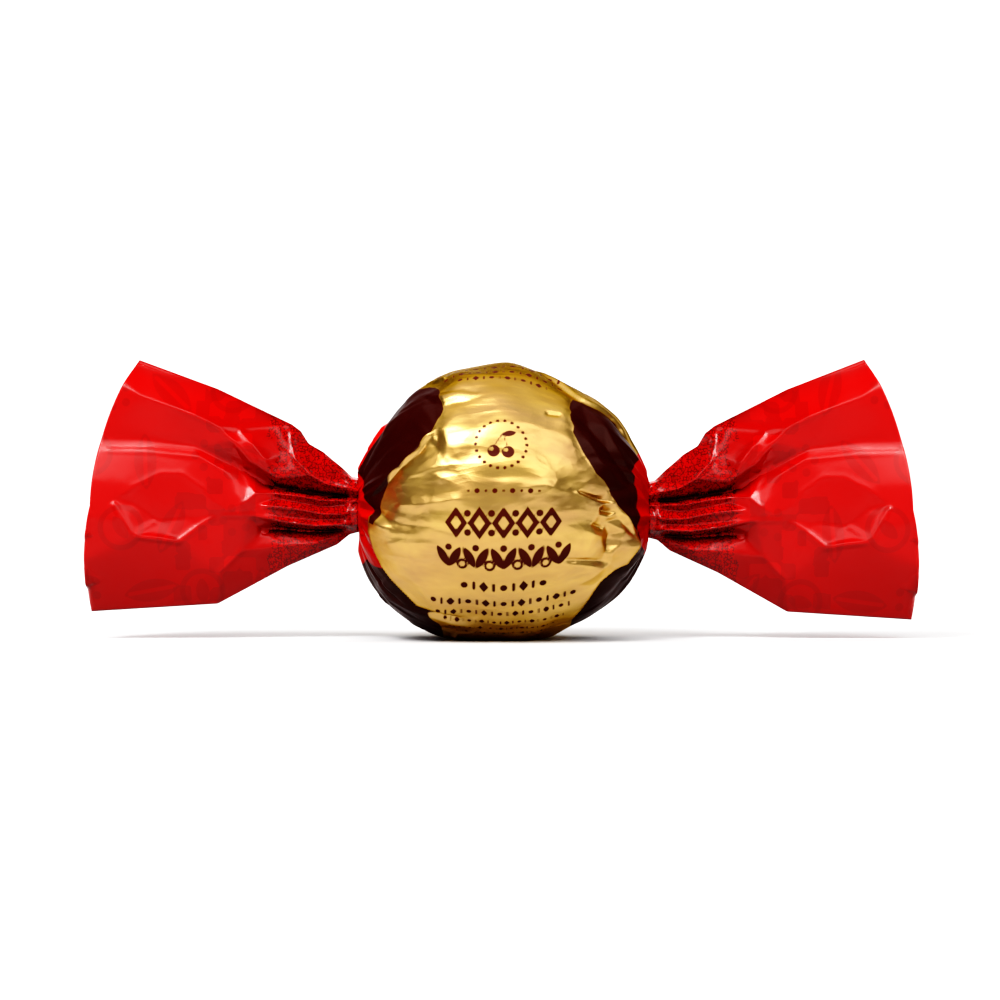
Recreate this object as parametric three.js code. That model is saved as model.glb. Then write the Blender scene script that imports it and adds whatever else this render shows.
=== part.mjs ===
import * as THREE from 'three';

// A chocolate truffle shut in a double-twist wrapper. One printed film is wrapped round the
// ball as a tube, gathered into a narrow neck at each side, and flares out past each neck into
// a flat, open-mouthed fan. Millimetres, +Z up, the label facing -Y, the fans along X, the
// origin at the middle of the small flat spot that the ball stands on.

// ---- driving dimensions --------------------------------------------------------------------

const NECK_X = 18.8; // from the middle of the ball to a neck, along X
const BALL_TOP = 17.9; // from the ball's middle up to its top
const BALL_BOTTOM = 18.4; // down to its lowest point, before the flat spot is pressed in
const BALL_HALF_DEPTH = 18.0; // from the middle to the front or the back
const BALL_HEIGHT = 17.94; // the ball's middle above the table

const NECK_HALF_HEIGHT = 3.5;
const NECK_HALF_DEPTH = 2.7;
const GATHERS = [
  { count: 9, depth: 0.34, shift: 0.6 }, // fine gathers round each neck
  { count: 5, depth: 0.15, shift: -1.1 }, // and broader ones that make them uneven
];
const GATHER_RUN = 6; // how far the gathers run out over the ball and the fan

const FAN_WALL = 0.5; // the film as modelled, thick enough to be solid
const FAN_HALF_DEPTH = 3.7; // half the width of the open mouth, front to back
const LEAST_BELLY = 0.5; // how much of that depth a wall keeps at the bottom of a hollow
const POCKET_WIDTH = 0.86; // how much of a wall's width the pocket takes
const POCKET_START = 0.22; // where the pocket ends, from 0 at the neck to 1 at the mouth
const LEAST_POCKET = 0.3; // half the least gap between the pocket's two faces

// Each fan hangs on its own neck: its side, the neck's height, and how far and wide it opens.
const LEFT = { sign: -1, neckZ: 17.4, reach: 1, spread: 1 };
const RIGHT = { sign: 1, neckZ: 16.8, reach: 0.985, spread: 1.035 };

// A fan's outline, as [out from the neck, up from the neck].
const TOP_EDGE = [[0, 3.5], [1.2, 3.9], [6.2, 7.8], [8.3, 10.3], [18.3, 15.1], [28.6, 18.9]];
const BOTTOM_EDGE = [[0, -3.5], [1.2, -3.9], [8.6, -7.5], [18.3, -12.8], [34.7, -13.8]];
const MOUTH_RADIUS = 34.4; // the mouth is an arc about the neck,
const MOUTH_LOW_GROWTH = 7.6; // which swings out by this for each radian below the level

// The large creases of a fan's front wall: ridges stand towards the viewer, valleys lie back.
const FRONT_CREASES = [
  { from: [8.5, 6.6], to: [31, 17.1], height: 1.4, reach: 3.4 }, // upper ridge
  { from: [14, 5.6], to: [34, 11.4], height: -0.9, reach: 3 }, // hollow under it
  { from: [18.5, 6.2], to: [34, 7.5], height: 1.3, reach: 3.2 }, // middle ridge
  { from: [9.5, 1.9], to: [21, 6.4], height: -1.6, reach: 3.4 }, // deepest hollow
  { from: [18, 0.4], to: [31.5, 0.8], height: 1.1, reach: 3 }, // upper rim of the dimple
  { from: [20.5, -3.4], to: [29, -5], height: 0.9, reach: 3 }, // lower rim of the dimple
  { from: [5, -1.2], to: [13, -3.4], height: 0.9, reach: 2.6 }, // lower gathers
  { from: [12, -4], to: [17.5, -11.8], height: -1, reach: 3.2 }, // lower fold
];

// The back wall falls in radial pleats, deepest at the mouth.
const BACK_PLEATS = { count: 3.2, depth: 1.5, shift: 0.2 };

// The whole fan waves forward and back across its width, most at the mouth.
const FAN_SWAY = { depth: 1.3, count: 0.8, shift: -0.5 };

// How far out from the neck each form has grown in, from 0 at the neck to 1 at the mouth.
const GROWN = { belly: 0.6, creases: 0.33, pleats: 0.55 };

// The mesh: points round the film, and rings along each stretch of it.
const AROUND = 56;
const BALL_RINGS = 42;
const FAN_RINGS = 19;
const POCKET_RINGS = 9;

// ---- small helpers -------------------------------------------------------------------------

const mix = (a, b, t) => a + (b - a) * t;

const fadeIn = (t) => THREE.MathUtils.smoothstep(t, 0, 1);

// A triangle wave between -1 and 1, with a period of 1.
const zigzag = (t) => 4 * Math.abs(t - Math.floor(t + 0.5)) - 1;

// The point at share t of a polyline's length.
function alongLine(points, t) {
  const lengths = points.slice(1).map((p, i) => Math.hypot(p[0] - points[i][0], p[1] - points[i][1]));
  let left = t * lengths.reduce((sum, length) => sum + length, 0);
  for (let i = 0; i < lengths.length; i++) {
    if (left <= lengths[i] || i === lengths.length - 1) {
      const share = left / lengths[i];
      return [mix(points[i][0], points[i + 1][0], share), mix(points[i][1], points[i + 1][1], share)];
    }
    left -= lengths[i];
  }
}

// ---- the ball ------------------------------------------------------------------------------

// Turn angle round the X axis: 0 at the front, +90 degrees on top, 180 at the back.
const turnOf = (k) => (k / AROUND) * 2 * Math.PI - Math.PI / 2;

// The wrapped ball is a little lopsided. Seen from the front, its outline is slanted above the
// left neck, blunt below it, slim above the right neck and round below that. Each shoulder
// gives how much fuller than round the outline is, at share t of the way out to the neck.
const SHOULDERS = {
  leftTop: (t) => -0.22 * t ** 4,
  leftBottom: (t) => 0.26 * t ** 2,
  rightTop: (t) => (-0.095 * t ** 2) / (t ** 2 + 0.08),
  rightBottom: () => 0,
};

function fullness(share, turn) {
  const upward = (Math.sin(turn) + 1) / 2;
  const t = Math.abs(share);
  return share < 0
    ? 1 + mix(SHOULDERS.leftBottom(t), SHOULDERS.leftTop(t), upward)
    : 1 + mix(SHOULDERS.rightBottom(t), SHOULDERS.rightTop(t), upward);
}

// Gathers that run out of a neck and fade with the distance from it.
function gather(turn, distance) {
  const waves = GATHERS.map(({ count, depth, shift }) => depth * Math.cos(count * turn + shift));
  return waves.reduce((sum, wave) => sum + wave, 0) * Math.exp(-distance / GATHER_RUN);
}

// One point of the film over the ball. share runs from -1 at the left neck to 1 at the right.
function ballPoint(share, turn) {
  const side = share < 0 ? LEFT : RIGHT;
  const t = Math.abs(share);
  const body = Math.sqrt(1 - t ** 2) * fullness(share, turn);
  const upDown = Math.sin(turn) > 0 ? BALL_TOP : BALL_BOTTOM;
  const gathers = gather(turn, (1 - t) * NECK_X);
  const halfHeight = Math.hypot(upDown * body, NECK_HALF_HEIGHT * t) + gathers;
  const halfDepth = Math.hypot(BALL_HALF_DEPTH * body, NECK_HALF_DEPTH * t) + gathers;
  const middle = mix(BALL_HEIGHT, side.neckZ, t ** 6);
  const z = middle + halfHeight * Math.sin(turn);
  return new THREE.Vector3(share * NECK_X, -halfDepth * Math.cos(turn), Math.max(z, 0));
}

// ---- the fans ------------------------------------------------------------------------------

// Where a point of a fan lies, seen from the front, as [out from the neck, up from the neck].
// along runs from 0 at the neck to 1 at the mouth, across from -1 at the bottom to 1 on top.
function fanPlace(along, across) {
  const up = (across + 1) / 2;
  const top = alongLine(TOP_EDGE, along);
  const bottom = alongLine(BOTTOM_EDGE, along);
  const neck = [0, NECK_HALF_HEIGHT * Math.sin((across * Math.PI) / 2)];
  const mouth = mouthPlace(up);
  const corners = [0, 1].map((axis) => {
    const inner = mix(BOTTOM_EDGE[0][axis], TOP_EDGE[0][axis], up);
    return mix(inner, mix(mouthPlace(0)[axis], mouthPlace(1)[axis], up), along);
  });
  return [0, 1].map(
    (axis) => mix(bottom[axis], top[axis], up) + mix(neck[axis], mouth[axis], along) - corners[axis],
  );
}

// The mouth's arc, from its lower corner (up = 0) to its upper corner (up = 1).
function mouthPlace(up) {
  const low = BOTTOM_EDGE[BOTTOM_EDGE.length - 1];
  const high = TOP_EDGE[TOP_EDGE.length - 1];
  const angle = mix(Math.atan2(low[1], low[0]), Math.atan2(high[1], high[0]), up);
  const radius = MOUTH_RADIUS + MOUTH_LOW_GROWTH * Math.max(0, -angle);
  return [radius * Math.cos(angle), radius * Math.sin(angle)];
}

// The sum of the creases at one place: each falls off to both sides.
function creaseHeight(place) {
  let height = 0;
  for (const crease of FRONT_CREASES) {
    const run = [crease.to[0] - crease.from[0], crease.to[1] - crease.from[1]];
    const off = [place[0] - crease.from[0], place[1] - crease.from[1]];
    const share = (off[0] * run[0] + off[1] * run[1]) / (run[0] ** 2 + run[1] ** 2);
    const nearest = THREE.MathUtils.clamp(share, 0, 1);
    const distance = Math.hypot(off[0] - nearest * run[0], off[1] - nearest * run[1]);
    height += crease.height * fadeIn(1 - distance / crease.reach);
  }
  return height;
}

// How far the front and the back wall stand off the fan's middle, both as y.
function fanDepths(along, across, place) {
  const turn = (across * Math.PI) / 2;
  const halfDepth = mix(NECK_HALF_DEPTH, FAN_HALF_DEPTH, fadeIn(along / GROWN.belly));
  const belly = halfDepth * Math.cos(turn);
  const sway = FAN_SWAY.depth * along ** 2 * Math.sin(across * Math.PI * FAN_SWAY.count + FAN_SWAY.shift);
  const calm = 1 - across ** 6; // keeps the relief off the two folded edges
  const creases = creaseHeight(place) * fadeIn(along / GROWN.creases) + gather(turn, place[0]);
  const zigzags = zigzag((across * BACK_PLEATS.count) / 2 + BACK_PLEATS.shift);
  const pleats = BACK_PLEATS.depth * zigzags * fadeIn(along / GROWN.pleats);
  const folds = pleats + gather(Math.PI - turn, place[0]);
  const front = sway - Math.max(belly + creases * calm, LEAST_BELLY * belly);
  const back = sway + Math.max(belly + folds * calm, LEAST_BELLY * belly);
  return [front, back];
}

// One point of a fan. inside is true for the pocket's own faces.
function fanPoint(side, along, k, inside) {
  const turn = turnOf(k);
  const onFront = k <= AROUND / 2;
  const round = onFront ? turn : Math.PI - turn;
  const across = (round / (Math.PI / 2)) * (inside ? POCKET_WIDTH : 1);
  const place = fanPlace(along, across);
  const [front, back] = fanDepths(along, across, place);
  const middle = (front + back) / 2;
  let y = onFront ? front : back;
  if (inside) {
    const inner = onFront ? front + FAN_WALL : back - FAN_WALL;
    y = onFront ? Math.min(inner, middle - LEAST_POCKET) : Math.max(inner, middle + LEAST_POCKET);
  }
  const x = side.sign * (NECK_X + place[0] * side.reach);
  return new THREE.Vector3(x, y, side.neckZ + place[1] * side.spread);
}

// ---- the film, as rings from pocket to pocket -----------------------------------------------

const ring = (pointAt) => Array.from({ length: AROUND }, (_, k) => pointAt(k));

const steps = (count, from, to) => Array.from({ length: count }, (_, i) => mix(from, to, i / (count - 1)));

function fanRings(side) {
  const outer = steps(FAN_RINGS, 0, 1).map((along) => ring((k) => fanPoint(side, along, k, false)));
  const pocket = steps(POCKET_RINGS, 1, POCKET_START).map((along) =>
    ring((k) => fanPoint(side, along, k, true)),
  );
  return [...outer, ...pocket];
}

function ballRings() {
  const angles = steps(BALL_RINGS + 2, -Math.PI / 2, Math.PI / 2).slice(1, -1);
  return angles.map((angle) => ring((k) => ballPoint(Math.sin(angle), turnOf(k))));
}

// Skins a row of rings into one closed body. Each end is closed by a strip across its ring.
function skin(rings) {
  const positions = rings.flat().flatMap((point) => [point.x, point.y, point.z]);
  const index = [];
  const last = rings.length - 1;
  const at = (i, k) => i * AROUND + (k % AROUND);
  // A four-sided patch as two triangles. One that has shrunk to an edge is left out.
  const patch = (a, b, c, d) => {
    if (b !== c) {
      index.push(a, b, c);
    }
    if (a !== d) {
      index.push(a, c, d);
    }
  };
  for (let i = 0; i < last; i++) {
    for (let k = 0; k < AROUND; k++) {
      patch(at(i, k), at(i + 1, k), at(i + 1, k + 1), at(i, k + 1));
    }
  }
  for (let k = 0; k < AROUND / 2; k++) {
    patch(at(0, k), at(0, k + 1), at(0, AROUND - k - 1), at(0, AROUND - k));
    patch(at(last, AROUND - k), at(last, AROUND - k - 1), at(last, k + 1), at(last, k));
  }
  const geometry = new THREE.BufferGeometry();
  geometry.setAttribute('position', new THREE.Float32BufferAttribute(positions, 3));
  geometry.setIndex(index);
  geometry.computeVertexNormals();
  return geometry;
}

const filmRings = [...fanRings(LEFT).reverse(), ...ballRings(), ...fanRings(RIGHT)];

const foil = new THREE.MeshStandardMaterial({ color: 0xd2ac4c, roughness: 0.32, metalness: 0.9 });
const truffle = new THREE.Mesh(skin(filmRings), foil);
truffle.name = 'wrapped_truffle';

const part = new THREE.Group();
part.add(truffle);

export default part;
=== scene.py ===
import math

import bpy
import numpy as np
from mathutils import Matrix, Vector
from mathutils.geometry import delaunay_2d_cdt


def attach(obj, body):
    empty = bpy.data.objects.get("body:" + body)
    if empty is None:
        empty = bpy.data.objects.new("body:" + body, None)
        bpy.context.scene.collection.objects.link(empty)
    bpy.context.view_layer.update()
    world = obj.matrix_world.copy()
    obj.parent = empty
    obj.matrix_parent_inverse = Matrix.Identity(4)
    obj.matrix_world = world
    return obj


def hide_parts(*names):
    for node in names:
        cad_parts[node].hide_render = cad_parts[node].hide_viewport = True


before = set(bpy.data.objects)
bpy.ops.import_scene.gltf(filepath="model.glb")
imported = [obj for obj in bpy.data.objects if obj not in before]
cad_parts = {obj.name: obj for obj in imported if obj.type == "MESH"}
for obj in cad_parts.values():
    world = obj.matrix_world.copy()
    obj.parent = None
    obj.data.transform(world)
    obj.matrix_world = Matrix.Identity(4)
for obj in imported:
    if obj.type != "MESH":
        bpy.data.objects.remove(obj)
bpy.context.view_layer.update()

# The looks of a chocolate truffle shut in a double-twist wrapper. The printed film is made as
# three closed pieces that meet at the necks: the ball's skin and the two fans. Sizes of the
# truffle are in millimetres, and become metres only where a mesh is made. Sizes of the studio
# are in metres.

MM = 0.001
BALL_SEED = 7
LEFT_FAN_SEED = 11
RIGHT_FAN_SEED = 12

# ---- sizes, as in the solid ---------------------------------------------------------------------

NECK_X = 18.8
BALL_TOP = 17.9
BALL_BOTTOM = 18.4
BALL_HALF_DEPTH = 18.0
BALL_HEIGHT = 17.94
NECK_HALF_HEIGHT = 3.5
NECK_HALF_DEPTH = 2.7

LEFT = {"sign": -1, "neck_z": 17.4, "reach": 1.0, "spread": 1.0}
RIGHT = {"sign": 1, "neck_z": 16.8, "reach": 0.985, "spread": 1.035}

TOP_EDGE = [
    (0, 3.5), (0.9, 3.7), (2.2, 4.9), (4.6, 6.9), (6.5, 8.0), (7.5, 9.6), (8.7, 10.5),
    (18.3, 15.1), (28.6, 18.9),
]
BOTTOM_EDGE = [(0, -3.5), (1.2, -3.8), (2.8, -5.1), (9.2, -7.9), (18.3, -12.8), (34.7, -13.8)]
MOUTH_RADIUS = 34.4
MOUTH_LOW_GROWTH = 7.6

# The pleats round each neck: how much further out than its oval the film lies, by the angle in
# degrees from the front up over the top.
NECK_PLEATS = [
    (-90, 0.0), (-68, -0.42), (-58, -0.38), (-45, 0.08), (-25, 0.02), (-12, 0.1), (2, -0.2),
    (9, 0.05), (16, -0.5), (22, -0.4), (32, 0.14), (52, -0.12), (66, 0.08), (90, 0.0),
    (108, -0.25), (122, 0.12), (140, -0.4), (155, 0.1), (172, -0.3), (188, 0.12), (204, -0.45),
    (222, 0.08), (240, -0.2), (255, 0.05), (270, 0.0),
]

FILM = 0.12  # thicker than the real 0.03 mm, so that its cut edge shows
LEAST_HALF_GAP = 0.12  # how close a fan's wall may come to the fan's middle

# ---- the meshes' grids --------------------------------------------------------------------------

BALL_AROUND = 400
BALL_RINGS = 228
FRONT_BIAS = 0.4  # how much denser the ball's grid is at the front than at the back
FAN_ACROSS = 150
FAN_RINGS = 135
POCKET_RINGS = 26
POCKET_START = 0.1  # the share of a fan's length at which its open pocket ends
POCKET_WIDTH = 0.975  # how wide the pocket is, as a share of the fan


# ---- small helpers ------------------------------------------------------------------------------

def mix(a, b, t):
    """a where t is 0, b where t is 1, and an even change between them."""
    return a + (b - a) * t


def fade_in(t):
    """0 below 0, 1 above 1, and a soft S between them."""
    t = np.clip(t, 0.0, 1.0)
    return t * t * (3 - 2 * t)


def zigzag(t):
    """A row of even folds, one for each whole t, between -1 and 1."""
    return 4 * np.abs(t - np.floor(t + 0.5)) - 1


def along_line(points, t):
    """The points at shares t of a polyline's length."""
    points = np.array(points, float)
    lengths = np.hypot(*np.diff(points, axis=0).T)
    at = np.concatenate([[0], np.cumsum(lengths)]) / lengths.sum()
    return np.stack([np.interp(t, at, points[:, axis]) for axis in (0, 1)])


def path_distance(x, z, path):
    """Distance to a path, positive on its left side, and the share of the path passed."""
    best = np.full(x.shape, 1e9)
    side = np.ones(x.shape)
    passed = np.zeros(x.shape)
    count = len(path) - 1
    for i, ((ax, az), (bx, bz)) in enumerate(zip(path[:-1], path[1:])):
        run_x, run_z = bx - ax, bz - az
        share = ((x - ax) * run_x + (z - az) * run_z) / (run_x ** 2 + run_z ** 2)
        share = np.clip(share, 0, 1)
        off_x, off_z = x - ax - share * run_x, z - az - share * run_z
        distance = np.hypot(off_x, off_z)
        nearer = distance < best
        best = np.where(nearer, distance, best)
        side = np.where(nearer, np.where(run_x * off_z - run_z * off_x >= 0, 1, -1), side)
        passed = np.where(nearer, (i + share) / count, passed)
    return best * side, passed


def inside_distance(x, z, corners):
    """Distance to a closed outline, positive inside it."""
    closed = list(corners) + [corners[0]]
    distance = np.abs(path_distance(x, z, closed)[0])
    inside = np.zeros(x.shape, bool)
    for (ax, az), (bx, bz) in zip(closed[:-1], closed[1:]):
        if az != bz:
            crosses = (az > z) != (bz > z)
            inside ^= crosses & (x < ax + (z - az) * (bx - ax) / (bz - az))
    return np.where(inside, distance, -distance)


def smoothed(heights, passes):
    """Heights on a grid, evened out towards their neighbours."""
    for _ in range(passes):
        padded = np.pad(heights, 1, mode="edge")
        heights = (padded[:-2, 1:-1] + padded[2:, 1:-1] + 2 * padded[1:-1, 1:-1]) / 4
        padded = np.pad(heights, 1, mode="edge")
        heights = (padded[1:-1, :-2] + padded[1:-1, 2:] + 2 * padded[1:-1, 1:-1]) / 4
    return heights


def net_heights(out, up, net):
    """The height of a crease net over the places (out, up), by its triangles."""
    corners, edges = [], []
    for path in net.values():
        picks = []
        for point in path:
            if point not in corners:
                corners.append(point)
            picks.append(corners.index(point))
        edges += list(zip(picks[:-1], picks[1:]))
    places = [Vector((c[0], c[1])) for c in corners]
    verts, _, faces, origins, _, _ = delaunay_2d_cdt(places, edges, [], 0, 1e-4)
    tall = []
    for vert, origin in zip(verts, origins):
        near = min(range(len(corners)), key=lambda i: (places[i] - vert).length)
        tall.append(corners[origin[0]][2] if origin else corners[near][2])
    height = np.zeros(out.shape)
    nearest = np.full(out.shape, 1e9)
    for vert, tip in zip(verts, tall):
        distance = np.hypot(out - vert.x, up - vert.y)
        height = np.where(distance < nearest, tip, height)
        nearest = np.minimum(nearest, distance)
    for a, b, c in faces:
        pa, pb, pc = verts[a], verts[b], verts[c]
        area = (pb.x - pa.x) * (pc.y - pa.y) - (pc.x - pa.x) * (pb.y - pa.y)
        if abs(area) < 1e-6:
            continue
        share_b = ((out - pa.x) * (pc.y - pa.y) - (pc.x - pa.x) * (up - pa.y)) / area
        share_c = ((pb.x - pa.x) * (up - pa.y) - (out - pa.x) * (pb.y - pa.y)) / area
        inside = (share_b >= -1e-6) & (share_c >= -1e-6) & (share_b + share_c <= 1 + 1e-6)
        plane = tall[a] + share_b * (tall[b] - tall[a]) + share_c * (tall[c] - tall[a])
        height = np.where(inside, plane, height)
    return height


def net_nearness(out, up, net):
    """The distance to the nearest crease of a net."""
    nearest = np.full(out.shape, 1e9)
    for path in net.values():
        distance, _ = path_distance(out, up, [point[:2] for point in path])
        nearest = np.minimum(nearest, np.abs(distance))
    return nearest


# ---- print on the ball --------------------------------------------------------------------------

# Fields of colour, drawn on the front view as (x, z). The film carries them on over the rim, so
# each outline runs out past the ball's edge.
BROWN_PATCHES = {
    "upper_left": [
        (-11.8, 31.9), (-10.6, 32.3), (-9.6, 32.7), (-8.8, 32.6), (-8.1, 32.1), (-7.9, 31.6),
        (-8.0, 30.9), (-7.7, 30.4), (-7.5, 29.5), (-7.8, 28.7), (-8.2, 28.2), (-8.6, 27.2),
        (-8.9, 26.5), (-9.8, 25.9), (-10.2, 25.3), (-10.4, 24.8), (-10.9, 24.1), (-11.9, 23.3),
        (-12.5, 22.6), (-13.0, 22.1), (-13.8, 21.6), (-14.3, 21.1), (-14.7, 20.5), (-15.0, 19.7),
        (-15.3, 18.9), (-15.5, 17.8), (-15.6, 14.9), (-16.4, 15.2), (-16.8, 17.0), (-17.8, 18.3),
        (-18.4, 21.5), (-17.7, 23.2), (-16.7, 24.6), (-14.6, 28.6), (-13.8, 30.8),
    ],
    "lower_left": [
        (-15.5, 9.2), (-15.2, 9.7), (-14.1, 8.4), (-12.8, 6.9), (-11.4, 5.4), (-10.9, 5.0),
        (-8.3, 4.3), (-6.6, 3.6), (-9.5, 3.8), (-8.9, 3.1), (-8.1, 2.5), (-7.7, 1.5),
        (-7.7, -1.0), (-14.0, -1.0), (-19.0, 5.0), (-17.8, 10.6), (-16.8, 9.6),
    ],
    "upper_right": [
        (8.8, 31.0), (8.4, 30.4), (8.2, 29.6), (8.4, 29.1), (8.2, 28.7), (8.3, 28.0),
        (8.7, 27.2), (8.6, 26.5), (9.1, 25.6), (9.9, 24.1), (10.6, 23.0), (11.5, 21.3),
        (12.5, 20.4), (13.2, 19.4), (13.3, 18.6), (13.9, 17.4), (15.2, 15.7), (16.5, 14.0),
        (16.7, 16.8), (16.8, 19.2), (16.4, 20.1), (16.2, 21.7), (16.4, 22.3), (17.3, 23.6),
        (16.9, 24.4), (15.4, 26.2), (14.9, 27.2), (14.3, 27.9), (13.6, 28.5), (12.5, 29.2),
        (9.9, 30.5),
    ],
    "lower_right": [
        (16.5, 13.8), (16.25, 12.6), (15.9, 11.2), (15.1, 10.3), (14.0, 9.5), (12.0, 8.0),
        (10.9, 6.4), (9.9, 4.9), (8.7, 3.2), (8.5, 2.4), (8.4, -1.0), (14.0, -1.0),
        (19.0, 5.0), (19.0, 10.0), (17.9, 11.4), (17.3, 12.6), (16.8, 14.5),
    ],
}
RED_PATCHES = {
    "left_collar": [
        (-18.1, 21.8), (-17.6, 19.5), (-17.3, 18.4), (-16.3, 17.0), (-17.0, 16.3),
        (-17.0, 15.5), (-16.4, 12.9), (-16.1, 11.4), (-15.5, 9.2), (-16.6, 8.4),
        (-17.8, 9.2), (-22.0, 8.6), (-22.0, 22.0),
    ],
    "left_rim": [
        (-18.3, 21.2), (-16.6, 22.4), (-15.2, 24.4), (-13.4, 28.2), (-13.1, 30.4), (-14.5, 32.0),
        (-21.0, 24.0),
    ],
    "right_collar": [
        (17.5, 23.8), (16.4, 22.3), (16.2, 21.7), (16.4, 20.1), (16.8, 19.2), (16.7, 16.8),
        (16.8, 14.5), (17.3, 12.6), (17.9, 11.4), (22.0, 10.0), (22.0, 24.0),
    ],
}
RED_UNDERLAP = 0.35  # how far the red ink runs in under the brown
NO_PRINT = -5.0  # what a print's field holds well away from its marks


def patch_field(x, z, patches):
    """How far inside the nearest of the patches each place is."""
    return np.max([inside_distance(x, z, corners) for corners in patches.values()], axis=0)


# Each mark is a field: how far inside the mark a place is, and below 0 outside it.

def disc(u, v, centre, radius):
    return radius - np.hypot(u - centre[0], v - centre[1])


def ring(u, v, centre, radius, width):
    return width / 2 - np.abs(np.hypot(u - centre[0], v - centre[1]) - radius)


def bar(u, v, start, end, width):
    return width / 2 - np.abs(path_distance(u, v, [start, end])[0])


def lozenge(u, v, centre, half_width, half_height):
    reach = np.abs(u - centre[0]) / half_width + np.abs(v - centre[1]) / half_height
    return (1 - reach) * half_width * half_height / math.hypot(half_width, half_height)


def leaf(u, v, centre, length, width, turn):
    """A pointed leaf: what two equal discs have in common."""
    along = (u - centre[0]) * math.cos(turn) + (v - centre[1]) * math.sin(turn)
    off = np.abs((v - centre[1]) * math.cos(turn) - (u - centre[0]) * math.sin(turn))
    radius = (length ** 2 + width ** 2) / (4 * width)
    return radius - np.hypot(along, off + radius - width / 2)


def cherries(u, v, centre):
    """A pair of cherries on their stalks, with a leaf, inside a ring of dots."""
    cu, cv = centre
    fruit = np.maximum(
        disc(u, v, (cu - 0.95, cv - 0.95), 0.85),
        disc(u, v, (cu + 0.85, cv - 1.1), 0.85),
    )
    shine = np.maximum(
        disc(u, v, (cu - 1.2, cv - 0.7), 0.2),
        disc(u, v, (cu + 0.6, cv - 0.85), 0.2),
    )
    stalks = np.maximum(
        bar(u, v, (cu - 0.95, cv - 0.4), (cu + 0.15, cv + 1.35), 0.28),
        bar(u, v, (cu + 0.85, cv - 0.5), (cu + 0.15, cv + 1.35), 0.28),
    )
    art = np.minimum(np.maximum(fruit, stalks), -shine)
    art = np.maximum(art, leaf(u, v, (cu + 1.0, cv + 1.4), 2.0, 0.9, 0.25))
    dots = 22
    for i in range(dots):
        angle = 2 * math.pi * i / dots
        spot = (cu + 3.2 * math.cos(angle), cv + 3.2 * math.sin(angle))
        art = np.maximum(art, disc(u, v, spot, 0.3))
    return art


# Borders of small marks on the label: how far up from its middle, half a border's length, and a
# mark's size. They bend with the film, so the lower ones curve round the ball.
LABEL_BORDERS = [
    (-11.2, 5.0, 1.5), (-13.9, 9.0, 1.35), (-15.9, 8.4, 1.15), (-17.8, 7.6, 0.95),
    (-19.4, 7.0, 0.8), (-20.8, 6.0, 0.7), (19.2, 5.5, 1.2), (21.4, 7.5, 1.3), (23.8, 8.4, 1.4),
]


def label_border(u, v, height, half_length, size):
    """A border of dots and upright strokes in turn, with a lozenge at every fourth place."""
    art = np.full(u.shape, NO_PRINT)
    count = int(2 * half_length / (size * 0.82))
    for i in range(count + 1):
        at = -half_length + 2 * half_length * i / count
        if i % 4 == 2:
            mark = lozenge(u, v, (at, height), size * 0.46, size * 0.62)
        elif i % 2:
            mark = bar(u, v, (at, height - size * 0.3), (at, height + size * 0.3), size * 0.34)
        else:
            mark = disc(u, v, (at, height), size * 0.34)
        art = np.maximum(art, mark)
    return art


def label_art(u, v):
    """The label's print in film millimetres: cherries, two bold rows of lozenges and leaves, and
    borders of small marks."""
    art = cherries(u, v, (-0.3, 7.4))
    for i in range(9):
        art = np.maximum(art, disc(u, v, (-4.4 + 1.1 * i, 1.3), 0.4 if i % 2 else 0.26))
    for i in range(5):
        spot = (-6.0 + 3.0 * i, -2.7)
        outer = lozenge(u, v, spot, 1.55, 2.15)
        hollow = lozenge(u, v, spot, 0.62, 0.86)
        art = np.maximum(art, np.minimum(outer, -hollow))
        if i < 4:
            art = np.maximum(art, disc(u, v, (spot[0] + 1.5, -1.5), 0.5))
            art = np.maximum(art, disc(u, v, (spot[0] + 1.5, -3.9), 0.5))
    for i in range(5):
        spot = (-7.0 + 3.5 * i, -7.2)
        art = np.maximum(art, leaf(u, v, (spot[0] - 0.8, spot[1]), 3.4, 1.25, math.pi / 2 + 0.5))
        art = np.maximum(art, leaf(u, v, (spot[0] + 0.8, spot[1]), 3.4, 1.25, math.pi / 2 - 0.5))
        art = np.maximum(art, disc(u, v, (spot[0], spot[1] + 1.3), 0.5))
        if i < 4:
            art = np.maximum(art, ring(u, v, (spot[0] + 1.75, spot[1] - 0.9), 0.55, 0.45))
    for height, half_length, size in LABEL_BORDERS:
        art = np.maximum(art, label_border(u, v, height, half_length, size))
    return art


# ---- the ball -----------------------------------------------------------------------------------

def fullness(share, turn):
    """How much fuller than round the ball's outline is. It is slanted above the left neck,
    blunt below it, and slim above the right neck."""
    t = np.abs(share)
    upward = (np.sin(turn) + 1) / 2
    left = mix(0.26 * t ** 2, -0.22 * t ** 4, upward)
    right = mix(0, -0.095 * t ** 2 / (t ** 2 + 0.08), upward)
    return 1 + np.where(share < 0, left, right)


def neck_pleat(turn):
    """How far out the film lies round a neck, as a share of the neck's oval."""
    degrees = (np.degrees(turn) + 90) % 360 - 90
    angles, sizes = zip(*NECK_PLEATS)
    return 1 + np.interp(degrees, angles, sizes)


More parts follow.
